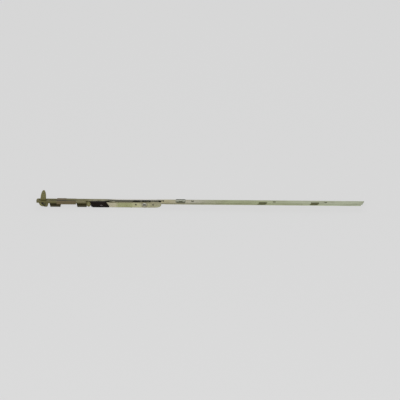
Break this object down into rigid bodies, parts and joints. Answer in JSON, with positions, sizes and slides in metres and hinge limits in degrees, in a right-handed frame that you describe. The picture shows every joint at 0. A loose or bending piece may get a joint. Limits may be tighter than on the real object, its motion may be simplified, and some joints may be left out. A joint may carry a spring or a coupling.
{
  "type": "window espagnolette",
  "caption": "Slim window espagnolette with a long faceplate, a spindle-driven gear case, sliding rods, a swinging tongue at one end and a roller cam.",
  "frame": {"origin": "on the faceplate's back face, at the middle of its length and width", "axes": "+X along the faceplate away from the tongue's end, +Y across it away from the handle side, +Z out of the faceplate's front face"},
  "size_m": [0.82, 0.0185, 0.0445],
  "materials": {
    "faceplate_zinc": "yellow-passivated zinc, lightly worn",
    "rod_zinc": "yellow-passivated zinc",
    "case_zinc": "bright zinc with a pale yellow cast",
    "tongue_zinc": "olive passivated zinc, worn at the tip",
    "cam_zinc": "bright zinc",
    "gear_steel": "dark sintered steel",
    "rivet_steel": "zinc-plated steel",
    "block_olive": "dark olive cast zinc",
    "saddle_bronze": "brown tarnished steel sheet",
    "housing_black": "black moulded plastic, half gloss",
    "lever_zinc": "olive passivated zinc",
    "spring_steel": "bright spring wire",
    "clip_dark": "dark olive moulded plastic"
  },
  "bodies": {
    "base": {"faceplate": "faceplate_zinc", "case_front": "case_zinc", "case_back": "case_zinc", "hub_ring_front": "case_zinc", "hub_ring_back": "case_zinc", "screw_sleeves": "rivet_steel", "case_rivets": "rivet_steel", "head_bracket": "faceplate_zinc", "pivot_pin": "rivet_steel", "tongue_pocket": "block_olive", "guide_block": "block_olive", "block_rivets": "rivet_steel", "saddle": "saddle_bronze", "lever_housing": "housing_black", "lever_pin": "rivet_steel", "lever_spring": "spring_steel", "rod_clip_left": "clip_dark", "rod_clip_right": "clip_dark"},
    "rod": {"drive_rod_left": "rod_zinc", "drive_rod_right": "rod_zinc", "end_coupler": "rod_zinc", "coupler_rivets": "rivet_steel", "rack": "gear_steel", "rack_rivets": "rivet_steel", "guide_studs": "rivet_steel", "drive_pin": "rivet_steel", "cam_base": "cam_zinc", "cam_stud": "cam_zinc"},
    "follower": {"follower": "gear_steel"},
    "tongue": {"tongue": "tongue_zinc"},
    "lever": {"blocking_lever": "lever_zinc"},
    "cam": {"cam_roller": "cam_zinc"}
  },
  "joints": [
    {"name": "handle_turn", "type": "hinge", "parent": "base", "child": "follower", "pos_m": [-0.14, 0, -0.0055], "axis": [0, 1, 0], "range_deg": [0, 90]},
    {"name": "rod_slide", "type": "slide", "parent": "base", "child": "rod", "axis": [-1, 0, 0], "range_m": [0, 0.00942]},
    {"name": "tongue_swing", "type": "hinge", "parent": "base", "child": "tongue", "pos_m": [-0.394, 0, -0.005], "axis": [0, 1, 0], "range_deg": [0, 83]},
    {"name": "lever_press", "type": "hinge", "parent": "base", "child": "lever", "pos_m": [-0.262, -0.0074, 0], "axis": [0, 0, -1], "range_deg": [0, 5], "stiffness_Nm_per_rad": 0.02, "springref_deg": -5.73},
    {"name": "cam_spin", "type": "hinge", "parent": "rod", "child": "cam", "pos_m": [-0.0495, 0, 0.0043], "axis": [0, 0, 1], "continuous": true}
  ],
  "couplings": [
    {"joint": "handle_turn", "follows": "rod_slide", "rad_per_m": 166.67},
    {"joint": "tongue_swing", "follows": "rod_slide", "rad_per_m": 153.7}
  ]
}
